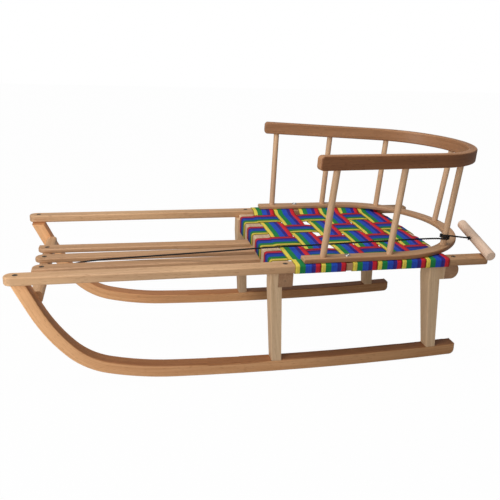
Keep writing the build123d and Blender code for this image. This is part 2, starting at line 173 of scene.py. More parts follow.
# --- material building blocks
def feed(socket, value):
    """Links a socket to another one, or sets it to a value."""
    if isinstance(value, bpy.types.NodeSocket):
        socket.id_data.links.new(value, socket)
    else:
        socket.default_value = value


def feed_all(node, inputs):
    """Feeds a node's inputs, by their names or numbers."""
    for socket, value in dict(inputs).items():
        feed(node.inputs[socket], value)


def add_node(tree, kind, inputs=(), **settings):
    """A shader node with its settings and inputs."""
    node = tree.nodes.new("ShaderNode" + kind)
    for name, value in settings.items():
        setattr(node, name, value)
    feed_all(node, inputs)
    return node


def node_after(kind, inputs, **settings):
    """A shader node in the tree that its inputs come from."""
    inputs = dict(inputs)
    tree = next(value.id_data for value in inputs.values() if isinstance(value, bpy.types.NodeSocket))
    return add_node(tree, kind, inputs, **settings)


def new_material(name, roughness):
    """An empty material, its node tree and its shader."""
    material = bpy.data.materials.new(name)
    material.use_nodes = True
    tree = material.node_tree
    tree.nodes.clear()
    bsdf = add_node(tree, "BsdfPrincipled", {"Roughness": roughness})
    add_node(tree, "OutputMaterial", {"Surface": bsdf.outputs["BSDF"]})
    return material, tree, bsdf


def maths(operation, *values):
    """The result of a Math node."""
    return node_after("Math", enumerate(values), operation=operation).outputs[0]


def plus(a, b):
    return maths("ADD", a, b)


def minus(a, b):
    return maths("SUBTRACT", a, b)


def times(a, b):
    return maths("MULTIPLY", a, b)


def distance(a, b):
    """The length of a line that runs a one way and b square to it."""
    return maths("SQRT", plus(times(a, a), times(b, b)))


def vector_maths(operation, *vectors):
    """The outputs of a Vector Math node."""
    return node_after("VectorMath", enumerate(vectors), operation=operation).outputs


def choose(factor, low, high):
    """A value that goes from low to high with factor."""
    return node_after("Mix", {0: factor, 2: low, 3: high}).outputs[0]


def blend_colours(factor, low, high, mode="MIX"):
    """A colour that goes from low to high with factor."""
    return node_after("Mix", {0: factor, 6: low, 7: high}, data_type="RGBA", blend_type=mode).outputs[2]


def tinted(tone, tint):
    """A colour multiplied by three shares or by another colour."""
    if isinstance(tone, tuple):
        return (*(a * b for a, b in zip(tone, tint)), 1)
    return blend_colours(1.0, tone, (*tint, 1) if isinstance(tint, tuple) else tint, "MULTIPLY")


def step(value, low, high):
    """0 below low, 1 above high and smooth between."""
    inputs = {"Value": value, "From Min": low, "From Max": high}
    return node_after("MapRange", inputs, interpolation_type="SMOOTHSTEP").outputs["Result"]


def scaled(vector, scale, offset=(0, 0, 0)):
    """A vector stretched by scale and moved by offset."""
    return node_after("Mapping", {"Vector": vector, "Scale": scale, "Location": offset}).outputs[0]


def noise(vector, detail=2.0, roughness=0.5, distortion=0.0):
    """A noise value at a vector."""
    return node_after("TexNoise", {
        "Vector": vector, "Scale": 1.0, "Detail": detail, "Roughness": roughness, "Distortion": distortion,
    }).outputs[0]


def bump(bsdf, height, depth):
    """Relief on a shader from a height value, its full depth given in metres."""
    relief = node_after("Bump", {"Height": height, "Distance": depth, "Strength": 1.0})
    feed(bsdf.inputs["Normal"], relief.outputs[0])


def coordinates(tree, kind):
    return add_node(tree, "TexCoord").outputs[kind]


def parts_of(vector):
    """The three parts of a vector."""
    return node_after("SeparateXYZ", {0: vector}).outputs


def object_place(tree):
    """The point's own place, in three parts."""
    return parts_of(coordinates(tree, "Object"))


def joined(*parts):
    """A vector from three values."""
    return node_after("CombineXYZ", enumerate(parts)).outputs[0]


# --- the run of the grain
def straight_grain(direction):
    """Grain that runs straight along a direction."""
    along = Vector(direction).normalized()
    across = along.orthogonal().normalized()
    third = along.cross(across)

    def build(tree):
        place = coordinates(tree, "Object")
        return joined(*(vector_maths("DOT_PRODUCT", place, axis)["Value"] for axis in (along, across, third)))

    return build


def hoop_grain(centre_x, radius, taper):
    """Grain that follows a hoop: round its bend, then along both of its arms."""

    def build(tree):
        x, y, z = object_place(tree)
        dx = minus(x, centre_x)
        width = maths("ABSOLUTE", y)
        u = plus(times(dx, math.cos(taper)), times(width, math.sin(taper)))
        v = minus(times(width, math.cos(taper)), times(dx, math.sin(taper)))
        behind = times(maths("MINIMUM", u, 0.0), -1.0)
        turned = times(maths("ARCTAN2", behind, v), radius)
        arm = plus(maths("MAXIMUM", u, 0.0), radius * (math.pi / 2 - taper))
        along = times(minus(arm, turned), maths("SIGN", y))
        return joined(along, distance(behind, v), z)

    return build


# A runner's bends from its rear end to the curl: radius in metres, start and turn in degrees,
# the angles measured from straight down
RUNNER_BENDS = (
    (6.3, -2.812, 5.140), (0.573, 2.328, 12.1), (0.147, 14.428, 32.8), (0.319, 47.228, 18.1),
    (9.0, 65.328, 2.0),
)
RUNNER_LOW_X = -0.083


def runner_grain(tree):
    """Grain that follows the runner's bends, from its rockered sole up through the curl."""
    x, y, z = object_place(tree)
    radius = RUNNER_BENDS[0][0]
    centre = Vector((RUNNER_LOW_X, radius))
    run = 0.0
    along = depth = None
    for bend_radius, start, turn in RUNNER_BENDS:
        start, turn = math.radians(start), math.radians(turn)
        centre = centre + (radius - bend_radius) * Vector((math.sin(start), -math.cos(start)))
        radius = bend_radius
        dx = minus(x, centre.x)
        dz = minus(centre.y, z)
        turned = maths("ARCTAN2", dx, dz)
        here_along = plus(times(minus(turned, start), radius), run)
        here_depth = minus(radius, distance(dx, dz))
        if along is None:
            along, depth = here_along, here_depth
        else:
            past = maths("GREATER_THAN", turned, start)
            along = choose(past, along, here_along)
            depth = choose(past, depth, here_depth)
        run += radius * turn
    return joined(along, y, depth)


# --- sides of a piece, for tones that aren't the same all round
def facing(tree, vector):
    """How squarely a face looks along a vector: 1 straight at it, 0 sideways."""
    return vector_maths("DOT_PRODUCT", coordinates(tree, "Normal"), vector)["Value"]


def end_faces(tree):
    """1 on the sawn ends of a piece that lies across the sled."""
    return step(maths("ABSOLUTE", facing(tree, (0, 1, 0))), 0.6, 0.9)


def shaded_upper_face(tree):
    """1 on a runner's upper side, which is also the inner side of its curl: the side that gets painted shade.
    """
    return step(facing(tree, (-0.6, 0, 0.8)), 0.3, 0.7)


def shaded_outer_face(centre_x):
    """1 on the outer side of a hoop's bend, the side that gets painted shade."""

    def build(tree):
        x, y, _ = object_place(tree)
        behind = maths("MINIMUM", minus(x, centre_x), 0.0)
        outward = vector_maths("NORMALIZE", joined(behind, y, 0.0))[0]
        return step(facing(tree, outward), 0.4, 0.85)

    return build


def wood(name, grain, pale, dark, roughness=0.5, flecks=0.5, lacquer=0.06, darker=None, ends=None):
    """Fine-grained wood: wide growth bands, thin streaks, pores and short flecks along the grain.

    darker gives the sides that have a deeper tone: painted shade on a runner's upper side and a hoop's outer
    side, and the darker end grain of the crossbars. ends gives the tints of painted light and shade at the
    rear and the front.
    """
    material, tree, bsdf = new_material(name, roughness)
    run = grain(tree)
    # scales in repeats per metre: along the grain, and twice across it
    bands = noise(scaled(run, (2.6, 62, 62)), 2.0, 0.5, 0.35)
    streaks = noise(scaled(run, (9, 330, 330), (3.1, 0.7, 1.9)), 4.0, 0.6)
    pores = noise(scaled(run, (60, 1500, 1500), (0.4, 5.3, 2.2)), 2.0, 0.6)
    fleck = noise(scaled(run, (85, 620, 620), (7.7, 1.2, 4.6)), 1.0, 0.4)
    drift = noise(scaled(run, (3.5, 9, 9), (1.3, 2.9, 0.2)), 1.0)

    banding = times(step(bands, 0.32, 0.72), 0.55)
    streaking = times(step(streaks, 0.30, 0.74), 0.50)
    body = blend_colours(plus(banding, streaking), pale, dark)
    drifting = step(drift, 0.3, 0.7)
    body = tinted(body, blend_colours(drifting, (1.06, 1.04, 1.0, 1), (0.90, 0.88, 0.88, 1)))
    marks = times(step(fleck, 0.60, 0.72), flecks)
    body = blend_colours(marks, body, tinted(dark, (0.74, 0.66, 0.6)))
    pits = times(step(pores, 0.58, 0.75), 0.28)
    body = blend_colours(pits, body, tinted(dark, (0.62, 0.55, 0.5)))
    # painted light and shade along the piece: darker towards the rear, brighter towards the front
    if ends:
        lengthwise = object_place(tree)[0]
        body = tinted(body, blend_colours(step(lengthwise, -0.4, 0.3), *ends))
    # painted shade on the sides that darker picks on runners and hoops; on the crossbars, their darker end
    # grain
    if darker:
        body = blend_colours(darker(tree), body, tinted(body, (0.62, 0.50, 0.43)))
    feed_all(bsdf, {
        "Base Color": body,
        "Roughness": plus(times(streaks, 0.16), roughness - 0.08),
        "Specular IOR Level": 0.3,
        "Coat Weight": lacquer,
        "Coat Roughness": 0.35,
    })
    bump(bsdf, minus(times(streaks, 0.5), times(pits, 1.4)), 0.00022)
    return material


def dress(settings, prefix, key, grain, name=None, **options):
    """Gives the CAD nodes whose names start with prefix a wood of their own, in the tones of key."""
    pale, dark = (tuple(getattr(settings, f"{key}_{tone}")) for tone in ("pale", "dark"))
    material = wood(f"wood_{name or key}", grain, pale, dark, **options)
    for node_name, node in NODES.items():
        if node_name.startswith(prefix):
            for slot in node.material_slots:
                slot.material = material
            if not node.material_slots:
                node.data.materials.append(material)


# --- modelling helpers
def select_none():
    bpy.ops.object.select_all(action="DESELECT")


def select_only(piece):
    select_none()
    piece.select_set(True)
    bpy.context.view_layer.objects.active = piece


def newest(name):
    """Names the object that an operator has just added."""
    piece = bpy.context.object
    piece.name = piece.data.name = name
    return piece


def link(name, data):
    """A new object in the scene."""
    made = bpy.data.objects.new(name, data)
    bpy.context.scene.collection.objects.link(made)
    return made


def keep_place(piece):
    """Puts a piece's place in its mesh and its object at the origin."""
    select_only(piece)
    bpy.ops.object.transform_apply(location=True, rotation=True, scale=True)


def copy_to(piece, name, offset):
    """A copy of a piece with its own mesh, moved by offset."""
    twin = piece.copy()
    twin.data = piece.data.copy()
    twin.name = twin.data.name = name
    twin.data.transform(Matrix.Translation(offset))
    bpy.context.scene.collection.objects.link(twin)
    return twin


def copies(piece, stem, places):
    """A piece that stands at the first place, and numbered copies of it at the others."""
    offsets = enumerate(places[1:], start=2)
    return [piece] + [copy_to(piece, f"{stem}_{number}", place - places[0]) for number, place in offsets]


def apply_modifiers(piece):
    select_only(piece)
    for modifier in list(piece.modifiers):
        bpy.ops.object.modifier_apply(modifier=modifier.name)


def soften_edges(piece, width, segments=2):
    """Bevels a piece's sharp edges."""
    edge = piece.modifiers.new("Edges", "BEVEL")
    edge.width = width
    edge.segments = segments
    edge.limit_method = "ANGLE"
    apply_modifiers(piece)


def add_cylinder(name, vertices, radius, depth, location=(0, 0, 0), rotation=(0, 0, 0)):
    select_none()
    bpy.ops.mesh.primitive_cylinder_add(
        vertices=vertices, radius=radius, depth=depth, location=location, rotation=rotation
    )
    return newest(name)


def select_faces(piece, direction):
    """In edit mode, selects the faces that look along a direction."""
    mesh = bmesh.from_edit_mesh(piece.data)
    for face in mesh.faces:
        face.select_set(face.normal.dot(Vector(direction)) > 0.9)
    bmesh.update_edit_mesh(piece.data)


def inset_faces(piece, direction, insets):
    """Insets the faces that look along a direction: each inset has a width and a rise."""
    bpy.ops.object.mode_set(mode="EDIT")
    select_faces(piece, direction)
    for width, rise in insets:
        bpy.ops.mesh.inset(thickness=width, depth=rise)
    bpy.ops.object.mode_set(mode="OBJECT")


def mesh_piece(name, points, faces, uvs, material):
    """A mesh from points and faces, with a UV for each point."""
    mesh = bpy.data.meshes.new(name)
    mesh.from_pydata([tuple(p) for p in points], [], faces)
    layer = mesh.uv_layers.new(name="UVMap")
    for polygon in mesh.polygons:
        corners = [mesh.loops[i].vertex_index for i in polygon.loop_indices]
        across = [uvs[c][0] for c in corners]
        wraps = max(across) - min(across) > 0.5 and name.startswith("cord")
        for loop, corner in zip(polygon.loop_indices, corners):
            u, v = uvs[corner]
            layer.data[loop].uv = (u + 1 if wraps and u < 0.5 else u, v)
        polygon.use_smooth = True
    mesh.materials.append(material)
    return link(name, mesh)


# --- cord helpers
def smooth_route(name, points, pitch, closed=False):
    """A smooth route in even steps, with the points as its control points."""
    curve = bpy.data.curves.new(name, "CURVE")
    curve.dimensions = "3D"
    curve.resolution_u = 24
    spline = curve.splines.new("NURBS")
    spline.points.add(len(points) - 1)
    for target, point in zip(spline.points, points):
        target.co = (*point, 1.0)
    spline.order_u = 3
    spline.use_endpoint_u = not closed
    spline.use_cyclic_u = closed
    route = link(name, curve)
    bpy.context.view_layer.update()
    line = bpy.data.meshes.new_from_object(route)
    path = [vertex.co.copy() for vertex in line.vertices]
    bpy.data.meshes.remove(line)
    bpy.data.objects.remove(route)
    bpy.data.curves.remove(curve)
    if closed:
        path.append(path[0].copy())
    return even_steps(path, pitch)


def even_steps(path, pitch):
    """The same path in even steps."""
    steps = [path[0].copy()]
    left = pitch
    for before, after in zip(path, path[1:]):
        length = (after - before).length
        walked = 0.0
        while length - walked >= left:
            walked += left
            steps.append(before.lerp(after, walked / length))
            left = pitch
        left -= length - walked
    if (steps[-1] - path[-1]).length > pitch * 0.3:
        steps.append(path[-1].copy())
    return steps


def lay_strands(name, path, diameter, twist, material, strands=3, sides=7):
    """A twisted cord: strands that wind round the path."""
    strand_radius = diameter * 0.27
    offset = diameter / 2 - strand_radius
    normal = (path[1] - path[0]).normalized().orthogonal().normalized()
    points, faces, uvs = [], [], []
    frames = []
    for i, place in enumerate(path):
        before, after = path[max(i - 1, 0)], path[min(i + 1, len(path) - 1)]
        tangent = (after - before).normalized()
        normal = (normal - tangent * normal.dot(tangent)).normalized()
        frames.append((place, tangent, normal.copy(), tangent.cross(normal)))
    for strand in range(strands):
        base = len(points)
        walked = 0.0
        for i, (place, tangent, normal, side) in enumerate(frames):
            if i:
                walked += (place - frames[i - 1][0]).length
            turn = 2 * math.pi * (strand / strands + walked / twist)
            outward = normal * math.cos(turn) + side * math.sin(turn)
            middle = place + outward * offset
            around = tangent.cross(outward)
            for k in range(sides):
                angle = 2 * math.pi * k / sides
                points.append(middle + (outward * math.cos(angle) + around * math.sin(angle)) * strand_radius)
                uvs.append((k / sides, walked))
        rings = len(frames)
        for i in range(rings - 1):
            for k in range(sides):
                a, b = base + i * sides + k, base + i * sides + (k + 1) % sides
                faces.append((a, b, b + sides, a + sides))
        faces.append(tuple(base + k for k in reversed(range(sides))))
        faces.append(tuple(base + (rings - 1) * sides + k for k in range(sides)))
    return mesh_piece(name, points, faces, uvs, material)


def cord_finish(settings):
    """Black twisted polyester, with fibres that lean across each strand."""
    material, tree, bsdf = new_material("cord_black", 0.55)
    fibres = noise(scaled(coordinates(tree, "UV"), (14, 900, 1)), 3.0, 0.6)
    worn = (0.022, 0.021, 0.02, 1)
    feed_all(bsdf, {
        "Base Color": blend_colours(step(fibres, 0.35, 0.7), tuple(settings.colour), worn),
        "Specular IOR Level": 0.25,
    })
    bump(bsdf, fibres, 0.0002)
    return material


def spindle_line(node):
    """A spindle's foot and direction, from the ends of its mesh."""
    low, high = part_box(node)
    ends = []
    for keep in (lambda z: z < low.z + 4 * MM, lambda z: z > high.z - 4 * MM):
        found = [v.co for v in NODES[node].data.vertices if keep(v.co.z)]
        ends.append(sum(found, Vector()) / len(found))
    return ends[0], (ends[1] - ends[0]).normalized()


# --- operators
CAMERA_SHIFT = (0.0059, -0.0003)
SENSOR_WIDTH = 36
FLOOR_SIZE = 12
FLOOR_Z = -0.0005
FLOOR_MOTTLE = (0.58, 0.58, 0.57, 1)
FLOOR_GLOW = 0.985  # how much of the floor is plain white light for the camera
LAMP_SIZE = 0.6
LAMP_AIM = Vector((0, 0, 0.2))
LAMPS = (("key_lamp", "key", (1.2, 0.85, 0.5)), ("top_lamp", "top", (0.35, 0.3, 2.0)))


def make_camera(scene, s):
    data = bpy.data.cameras.new("camera")
    data.lens = s.lens
    data.sensor_width = SENSOR_WIDTH
    data.shift_x, data.shift_y = CAMERA_SHIFT
    camera = link("camera", data)
    place = Matrix.Translation((s.camera_x, s.camera_y, s.camera_z))
    turn = Matrix.Rotation(math.pi - s.heading, 4, "Z")
    tilt = Matrix.Rotation(math.pi / 2 - s.pitch, 4, "X")
    camera.matrix_world = place @ turn @ tilt @ Matrix.Rotation(s.roll, 4, "Z")
    scene.camera = camera


def make_floor(s):
    """A plain floor that looks almost white to the camera, with a faint shadow."""
    select_none()
    bpy.ops.mesh.primitive_plane_add(size=FLOOR_SIZE, location=(0, 0, FLOOR_Z))
    floor = newest("floor")
    keep_place(floor)
    material, tree, bsdf = new_material("floor_pale", 0.9)
    mottle = noise(scaled(coordinates(tree, "Object"), (40, 40, 40)), 3.0)
    feed(bsdf.inputs["Base Color"], blend_colours(mottle, tuple(s.floor), FLOOR_MOTTLE))
    glow = add_node(tree, "Emission", {"Strength": 1.0})
    seen = add_node(tree, "LightPath").outputs["Is Camera Ray"]
    mix = add_node(tree, "MixShader", {
        0: times(seen, FLOOR_GLOW), 1: bsdf.outputs[0], 2: glow.outputs[0],
    })
    output = next(node for node in tree.nodes if node.type == "OUTPUT_MATERIAL")
    feed(output.inputs["Surface"], mix.outputs[0])
    floor.data.materials.append(material)


def make_surroundings(scene, s):
    """White to the camera, and a weak light from all round to the sled."""
    world = bpy.data.worlds.new("surroundings")
    scene.world = world
    world.use_nodes = True
    tree = world.node_tree
    tree.nodes.clear()
    shown = add_node(tree, "LightPath").outputs["Is Camera Ray"]
    white = add_node(tree, "Background", {
        "Strength": choose(shown, s.ambient, 1.0), "Color": (1, 1, 1, 1),
    })
    add_node(tree, "OutputWorld", {"Surface": white.outputs[0]})


def make_lamps(s):
    for name, setting, spot in LAMPS:
        data = bpy.data.lights.new(name, "AREA")
        data.energy = getattr(s, setting)
        data.size = LAMP_SIZE
        lamp = link(name, data)
        aim = (LAMP_AIM - Vector(spot)).to_track_quat("-Z", "Y")
        lamp.matrix_world = Matrix.Translation(spot) @ aim.to_matrix().to_4x4()


class SLED_OT_stage(bpy.types.Operator):
    """Make the camera, the floor, the lamps and the surroundings"""

    bl_idname = "sled.stage"
    bl_label = "Stage"

    def execute(self, context):
        scene = context.scene
        scene.view_settings.view_transform = "Standard"
        make_camera(scene, scene.sled_stage)
        make_floor(scene.sled_stage)
        make_surroundings(scene, scene.sled_stage)
        make_lamps(scene.sled_stage)
        return {"FINISHED"}


# Route of the pull cord: from its tie on the front bar, up between two slats, over the
# seat's front edge and tight to the spindle
CORD_ROUTE = (
    (0.3931, 0.028, 0.1725),
    (0.352, 0.0295, 0.1815),
    (0.3095, 0.031, 0.1885),
    (0.090, 0.0655, 0.208),
    (-0.0045, 0.0805, 0.2181),
    (-0.100, 0.095, 0.225),
)
CORD_SPINDLE_RADIUS = 6.0 * MM
SPINDLE_GAP = 0.25 * MM
BAR_CORD_GAP = 0.2 * MM
WRAP_STEPS = 12  # control points in a turn round the spindle
WRAP_OVERLAP = 2  # control points beyond the last whole turn
WRAP_APPROACH = 24 * MM  # straight run before the first turn
WRAP_RISE, TIE_RISE = 1.05, 1.02  # from one turn to the next, in cord diameters
KNOT_APPROACH = 4.0 * MM  # the cord's end, from the middle of the knot
CORD_PITCH, TIE_PITCH, KNOT_PITCH = 1.2 * MM, 1.0 * MM, 0.7 * MM  # steps along the routes
DRAWN_TIGHT = (0.86, 0.8)  # a knot's diameter and twist, as shares of the cord's
TIE_STEPS = 16  # control points in a turn round the front bar
TIE_SQUARENESS = 0.6
KNOT_STEPS = 24
TIE_KNOT_OFFSET = Vector((-0.5, 0, -4.5)) * MM


def cord_route(s):
    """The pull cord's route, with its turns round the spindle, to the knot at the handle."""
    foot, up = spindle_line("spindle_3")
    wrap_middle = foot + up * (WRAP_MIDDLE - foot).dot(up)
    lap = CORD_SPINDLE_RADIUS + SPINDLE_GAP + s.diameter / 2
    inward = (Vector(CORD_ROUTE[-1]) - wrap_middle).normalized()
    back = (inward - up * inward.dot(up)).normalized()
    side = up.cross(back)
    rise = s.diameter * WRAP_RISE
    helix = []
    for i in range(WRAP_STEPS * s.turns + WRAP_OVERLAP):
        turned = 2 * math.pi * i / WRAP_STEPS
        height = (i / WRAP_STEPS - s.turns / 2) * rise
        spoke = side * math.cos(turned) - back * math.sin(turned)
        helix.append(wrap_middle + up * height + spoke * lap / math.cos(math.pi / WRAP_STEPS) ** 2)
    route = [Vector(p) for p in CORD_ROUTE] + [helix[0] + back * WRAP_APPROACH] + helix
    leave = KNOT_MIDDLE + (helix[-1] - KNOT_MIDDLE).normalized() * KNOT_APPROACH
    return route + [helix[-1].lerp(leave, 0.35), leave]


def tie_route(s):
    """Two turns round the front bar."""
    half_x = (FRONT_BAR_HIGH.x - FRONT_BAR_LOW.x) / 2 + s.diameter / 2 + BAR_CORD_GAP
    half_z = (FRONT_BAR_HIGH.z - FRONT_BAR_LOW.z) / 2 + s.diameter / 2 + BAR_CORD_GAP
    loops = []
    for i in range(2 * TIE_STEPS + 1):
        t = 2 * math.pi * i / TIE_STEPS + math.pi
        x = math.copysign(abs(math.cos(t)) ** TIE_SQUARENESS, math.cos(t)) * half_x
        z = math.copysign(abs(math.sin(t)) ** TIE_SQUARENESS, math.sin(t)) * half_z
        loops.append(TIE_MIDDLE + Vector((x, (i / TIE_STEPS - 1) * s.diameter * TIE_RISE, z)))
    return loops


def tie_knot(name, middle, reach, axis, settings, material):
    """A small overhand knot, drawn tight, with its ends hidden in it."""
    aim = Vector(axis).to_track_quat("Z", "Y").to_matrix()
    loop = []
    for i in range(KNOT_STEPS):
        t = 2 * math.pi * i / KNOT_STEPS
        local = Vector(
            (math.sin(t) + 2 * math.sin(2 * t), math.cos(t) - 2 * math.cos(2 * t), -1.35 * math.sin(3 * t))
        )
        loop.append(Vector(middle) + aim @ local * reach)
    ring = smooth_route(name + "_route", loop, KNOT_PITCH, closed=True)
    drawn, wound = DRAWN_TIGHT
    piece = lay_strands(name, ring, settings.diameter * drawn, settings.twist * wound, material)
    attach(piece, "root")
    return piece


class SLED_OT_cord(bpy.types.Operator):
    """Lay the twisted pull cord, its turns round the spindle, its knots and its tie"""

    bl_idname = "sled.cord"
    bl_label = "Pull cord"

    def execute(self, context):
        s = context.scene.sled_cord
        material = cord_finish(s)
        path = smooth_route("cord_route", cord_route(s), CORD_PITCH)
        cord = lay_strands("cord_pull", path, s.diameter, s.twist, material)
        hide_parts("pull_cord", "cord_wrap", "pull_cord_tail")
        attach(cord, "root")

        # the knot against the handle
        handle_aim = middle_of("pull_handle") - KNOT_MIDDLE
        stopper = tie_knot("cord_handle_knot", KNOT_MIDDLE, 1.05 * MM, handle_aim, s, material)
        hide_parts("cord_knot")

        # the tie round the front bar, closed by a small knot behind it
        tie_path = smooth_route("tie_route", tie_route(s), TIE_PITCH)
        tie = lay_strands("cord_front_tie", tie_path, s.diameter, s.twist, material)
        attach(tie, "root")
        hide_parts("cord_tie")
        tie_end = Vector(CORD_ROUTE[0]) + TIE_KNOT_OFFSET
        behind = tie_knot("cord_tie_knot", tie_end, 0.85 * MM, (1, 0, 0), s, material)

        return {"FINISHED"}


TAPE_RIBS = 30  # across the tape
PICK_PITCH = 0.0021  # from one cross thread to the next, in metres
STRIPES = ((0.175, "green"), (0.40, "blue"), (0.64, "violet"), (0.80, "red"))  # begin at shares of the width
STRIPE_BLUR = 0.008
ALONG_PAINTED_SHADE = 0.78  # painted shade: tone of the straps along the sled, beside those across it


def tape_finish(settings, name, painted_shade_tone):
    """Striped woven tape: ribs along it, cross threads, and stripes that change at a thread."""
    material, tree, bsdf = new_material(name, 0.72)
    uv = coordinates(tree, "UV")
    u, v, _ = parts_of(uv)
    ribs = maths("SINE", times(u, 2 * math.pi * TAPE_RIBS))
    shift = times(maths("FLOOR", times(u, float(TAPE_RIBS))), math.pi)
    picks = maths("SINE", plus(times(v, 2 * math.pi / PICK_PITCH), shift))
    threads = plus(times(ribs, 0.5), times(picks, 0.5))

    frayed = noise(scaled(uv, (60, 700, 1)), 2.0)
    edge = plus(u, times(minus(frayed, 0.5), 0.012))
    tone = tuple(settings.yellow)
    for border, following in STRIPES:
        past = step(edge, border - STRIPE_BLUR, border + STRIPE_BLUR)
        tone = blend_colours(past, tone, tuple(getattr(settings, following)))

    # darker thread lines within the blue and violet stripes
    line = maths("SINE", times(u, 2 * math.pi * TAPE_RIBS / 2))
    in_blue = times(step(u, 0.34, 0.40), minus(1.0, step(u, 0.72, 0.77)))
    shade = times(times(step(line, 0.1, 0.9), in_blue), 0.45)
    tone = blend_colours(shade, tone, tinted(tone, (0.45, 0.42, 0.5)))
    # painted shade in the dips between the threads, a little wear, and painted shade along the edges
    groove_shade = times(minus(1.0, step(threads, -0.9, 0.1)), 0.5)
    tone = blend_colours(groove_shade, tone, tinted(tone, (0.35, 0.34, 0.34)))
    worn = noise(scaled(uv, (9, 38, 1)), 2.0)
    tone = blend_colours(times(step(worn, 0.45, 0.8), 0.04), tone, (0.62, 0.6, 0.6, 1))
    rim = maths("ABSOLUTE", minus(u, 0.5))
    # painted shade along the strap's edges, where the gap beside the next strap is in shadow
    edge_shade = times(step(rim, 0.465, 0.498), 0.7)
    tone = blend_colours(edge_shade, tone, tinted(tone, (0.16, 0.13, 0.10)))
    # the straps along the sled are darkened here by painted shade
    feed_all(bsdf, {
        "Base Color": tinted(tone, (painted_shade_tone, painted_shade_tone, painted_shade_tone)),
        "Roughness": plus(times(worn, 0.15), 0.62),
        "Specular IOR Level": 0.2,
    })
    bump(bsdf, threads, 0.00022)
    return material


def smooth(value):
    """0 to 1 with level ends."""
    value = min(max(value, 0.0), 1.0)
    return value * value * (3 - 2 * value)


TAPE_COLUMNS = 13  # points across a strap
ACROSS_STEP = 3.0 * MM  # between the cross lines of a strap across the sled
ALONG_STEP = 2.4 * MM  # between those of a strap along it
RAIL_GAP = 0.12 * MM  # between the tape and the rail
BAR_GAP = 0.1 * MM  # between the tape and a crossbar
TURN_UNDER = 12 * MM  # how far a strap across reaches in under a rail
UNDER_ROW = 7 * MM  # a cross line under the rail, from its outer side
EDGE_ROW = 1 * MM  # the last cross line on the rail, from its inner side
SEAT_DIP = 20 * MM  # from a rail to where a strap across has come down to the weave
RAIL_FOLD, FRONT_FOLD, REAR_FOLD = 3 * MM, 4 * MM, 15 * MM  # inner radii of the folds
END_LIFT = 4 * MM  # of a turned-down end above the crossbar's lower edge
SLAT_LIFT = 1.0 * MM  # of a turned-down end above a slat
ABOVE_STRAPS = 0.75 * MM  # how far a strap across stays above or below the straps it crosses
EDGE_OVERLAP = 1.0 * MM  # a strap along changes level just inside the last strap across
FRONT_BAR_DROP = 1.0 * MM  # from the weave's middle down to the strap on the front crossbar
FRONT_RAMP, REAR_RAMP = 9 * MM, 14 * MM  # length of a change of level, the rear one to the rear crossbar


class Weave:
    """Where each strap runs: over or under the straps that it crosses."""

    def __init__(self, s):
        self.s = s
        self.middle_z = ALONG_TOP + BAR_GAP
        first = ACROSS_FRONT - s.across_width / 2
        self.across = [first - i * s.across_pitch - (s.bolt_gap if i > 1 else 0) for i in range(6)]
        self.along = [(1.5 - j) * s.along_pitch for j in range(4)]
        self.borders = [(a + b) / 2 for a, b in zip(self.across, self.across[1:])]

    def above(self, i, j):
        """1 where strap i across lies over strap j along, and -1 where it lies under."""
        return 1 if (i + j) % 2 == 0 else -1

    def calm(self, x):
        """1 in the middle of a strap across, and 0 where the straps along change level."""
        nearest = min(abs(x - border) for border in self.borders)
        return smooth(nearest / FRONT_RAMP)

    def across_z(self, i, x, y):
        """Middle height of strap i across in the seat."""
        places = self.along
        y = min(max(y, places[-1]), places[0])
        j = next(k for k in range(3) if places[k] >= y >= places[k + 1])
        gap_low = places[j + 1] + self.s.along_width / 2
        gap_high = places[j] - self.s.along_width / 2
        share = smooth((y - gap_low) / (gap_high - gap_low))
        level = self.above(i, j + 1) * (1 - share) + self.above(i, j) * share
        return self.middle_z + level * (ABOVE_STRAPS + self.s.weave_rise * (1 - self.calm(x)))

    def along_z(self, j, x):
        """Middle height of strap j along the sled, which leaves the weave level for the crossbars."""
        half = self.s.across_width / 2 - EDGE_OVERLAP
        front, rear = self.across[0] + half, self.across[-1] - half
        if rear <= x <= front:
            i = min(range(6), key=lambda k: abs(x - self.across[k]))
            return self.middle_z - self.above(i, j) * self.s.weave_rise * self.calm(x)
        if x > front:
            i, edge, bar, ramp = 0, front, self.middle_z - FRONT_BAR_DROP, FRONT_RAMP
        else:
            i, edge, bar, ramp = 5, rear, REAR_TRESTLE_HIGH.z + self.s.thickness / 2 + BAR_GAP, REAR_RAMP
        seat = self.middle_z - self.above(i, j) * self.s.weave_rise
        return seat + (bar - seat) * smooth(abs(x - edge) / ramp)


def arc(centre, radius, start, end, count=5):
    """Points round a fold."""
    made = []
    for k in range(count + 1):
        angle = math.radians(start + (end - start) * k / count)
        made.append((centre[0] + radius * math.cos(angle), centre[1] + radius * math.sin(angle)))
    return made


def cross_line(middle, width, place):
    """A row of points across a strap: place gives the point from its place along the row."""
    return [place(middle + (0.5 - k / (TAPE_COLUMNS - 1)) * width) for k in range(TAPE_COLUMNS)]


def lay_tape(name, stations, thickness, material, flip):
    """A strap from its cross lines: each station is a row of points across the strap."""
    columns = len(stations[0])
    middle = columns // 2
    points, uvs, faces = [], [], []
    walked = 0.0
    for i, row in enumerate(stations):
        if i:
            walked += (row[middle] - stations[i - 1][middle]).length
        for k, point in enumerate(row):
            points.append(point)
            uvs.append((k / (columns - 1), walked))
    for i in range(len(stations) - 1):
        for k in range(columns - 1):
            a = i * columns + k
            loop = (a, a + 1, a + columns + 1, a + columns)
            faces.append(loop[::-1] if flip else loop)
    piece = mesh_piece(name, points, faces, uvs, material)
    thick = piece.modifiers.new("Thickness", "SOLIDIFY")
    thick.thickness = thickness
    thick.offset = 0
    thick.use_even_offset = True
    apply_modifiers(piece)
    return piece, walked


